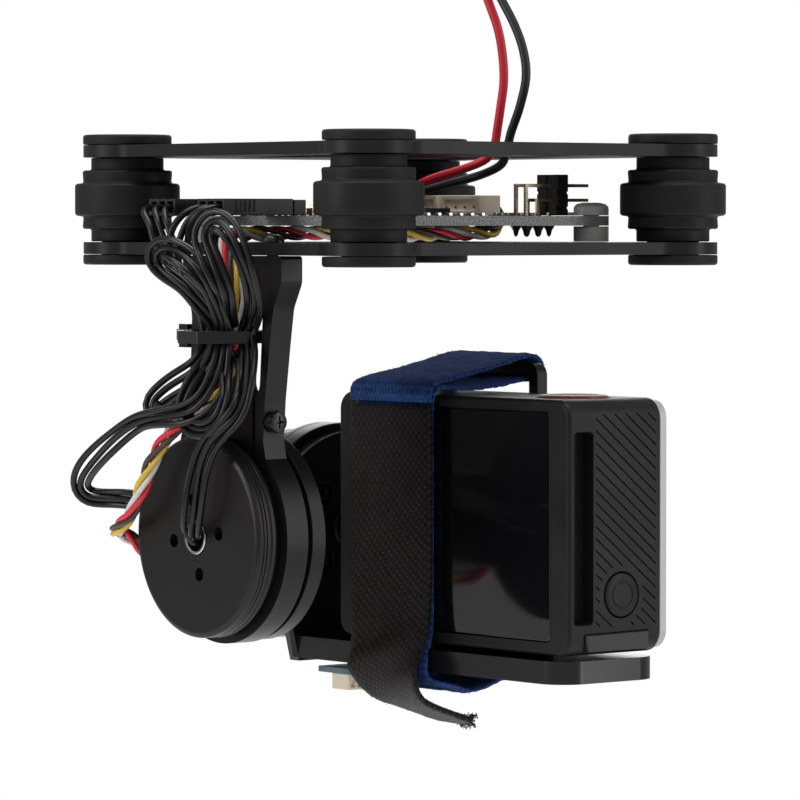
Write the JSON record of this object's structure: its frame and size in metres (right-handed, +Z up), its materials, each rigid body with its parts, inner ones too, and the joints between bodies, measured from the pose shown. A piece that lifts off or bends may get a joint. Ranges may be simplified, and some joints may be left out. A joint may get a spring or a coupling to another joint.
{
  "type": "camera gimbal",
  "caption": "Two-axis brushless camera gimbal on rubber-damped plates, with a roll motor, tilt motor and a tray holding a strapped action camera.",
  "frame": {"origin": "centre of the upper plate's top face", "axes": "+Z up out of the upper plate's top face, +Y the way the lens looks, +X to the right seen from behind"},
  "size_m": [0.089, 0.0899, 0.1415],
  "materials": {
    "anodised_black": "satin anodised",
    "damper_rubber": "matt",
    "circuit_board": "solder mask",
    "chip_black": "moulded",
    "socket_beige": "moulded nylon",
    "black_plastic": "moulded",
    "nylon": "translucent white nylon",
    "screw_steel": "black oxide",
    "motor_grey": "turned, grey anodised",
    "shaft_silver": "turned",
    "lead_black": "soft insulation",
    "lead_red": "soft insulation",
    "camera_grey": "fine texture",
    "camera_silver": "satin paint",
    "display_gloss": "glossy",
    "shutter_red": "satin",
    "strap_blue": "loop pile",
    "strap_black": "woven backing"
  },
  "bodies": {
    "upper_frame": {"upper_plate": "anodised_black", "damper_rear_left": "damper_rubber", "damper_rear_right": "damper_rubber", "damper_front_right": "damper_rubber", "damper_front_left": "damper_rubber"},
    "lower_frame": {"lower_plate": "anodised_black", "controller_board": "circuit_board", "processor_chip": "chip_black", "driver_chip_left": "chip_black", "driver_chip_right": "chip_black", "sensor_socket": "socket_beige", "spare_socket": "socket_beige", "power_socket": "black_plastic", "receiver_header": "black_plastic", "roll_motor_header": "black_plastic", "tilt_motor_header": "black_plastic", "roll_motor_plug": "black_plastic", "tilt_motor_plug": "black_plastic", "board_post_rear_left": "nylon", "board_post_rear_right": "nylon", "board_post_front_right": "nylon", "board_post_front_left": "nylon", "hanger_arm": "anodised_black", "hanger_screw_right": "screw_steel", "hanger_screw_left": "screw_steel", "clamp_screw": "screw_steel", "roll_motor_cap": "motor_grey", "roll_motor_housing": "motor_grey", "roll_motor_lead": "lead_black", "tilt_motor_lead": "lead_black", "sensor_lead_upper": "lead_red", "zip_tie": "black_plastic", "battery_lead_red": "lead_red", "battery_lead_black": "lead_black", "battery_plug": "lead_red"},
    "roll_frame": {"roll_shaft": "shaft_silver", "roll_arm": "anodised_black", "tilt_motor_stator": "motor_grey", "tilt_lead_front": "lead_black", "sensor_lead_roll": "lead_red", "lead_clip": "black_plastic"},
    "tilt_frame": {"tilt_motor_rotor": "motor_grey", "tilt_shaft": "shaft_silver", "tilt_hub": "motor_grey", "camera_tray": "anodised_black", "lens_frame": "anodised_black", "sensor_board": "circuit_board", "sensor_board_socket": "socket_beige", "sensor_lead_tilt": "lead_red", "camera_body": "camera_grey", "camera_front": "camera_silver", "camera_display": "display_gloss", "lens_housing": "black_plastic", "lens_glass": "display_gloss", "side_latch": "black_plastic", "strap_loop_tape": "strap_blue", "strap_hook_tape": "strap_black"},
    "shutter_button": {"shutter_button": "shutter_red"},
    "settings_button": {"settings_button": "black_plastic"},
    "power_button": {"power_button": "black_plastic"}
  },
  "joints": [
    {"name": "damper_give", "type": "slide", "parent": "upper_frame", "child": "lower_frame", "axis": [0, 0, 1], "range_m": [-0.003, 0.0015], "stiffness_N_per_m": 4000, "springref_m": 0.0006, "deforming": ["damper_rear_left", "damper_rear_right", "damper_front_right", "damper_front_left"]},
    {"name": "roll", "type": "hinge", "parent": "lower_frame", "child": "roll_frame", "pos_m": [0, -0.0314, -0.06315], "axis": [0, 1, 0], "range_deg": [-35, 35], "deforming": ["sensor_lead_roll"]},
    {"name": "tilt", "type": "hinge", "parent": "roll_frame", "child": "tilt_frame", "pos_m": [-0.03675, 0.0123, -0.0648], "axis": [1, 0, 0], "range_deg": [-90, 45], "deforming": ["sensor_lead_tilt"]},
    {"name": "shutter_press", "type": "slide", "parent": "tilt_frame", "child": "shutter_button", "axis": [0, 0, -1], "range_m": [0, 0.0004], "stiffness_N_per_m": 900, "springref_m": -0.0002},
    {"name": "settings_press", "type": "slide", "parent": "tilt_frame", "child": "settings_button", "axis": [-1, 0, 0], "range_m": [0, 0.0004], "stiffness_N_per_m": 900, "springref_m": -0.0002},
    {"name": "power_press", "type": "slide", "parent": "tilt_frame", "child": "power_button", "axis": [0, -1, 0], "range_m": [0, 0.0004], "stiffness_N_per_m": 900, "springref_m": -0.0002}
  ]
}
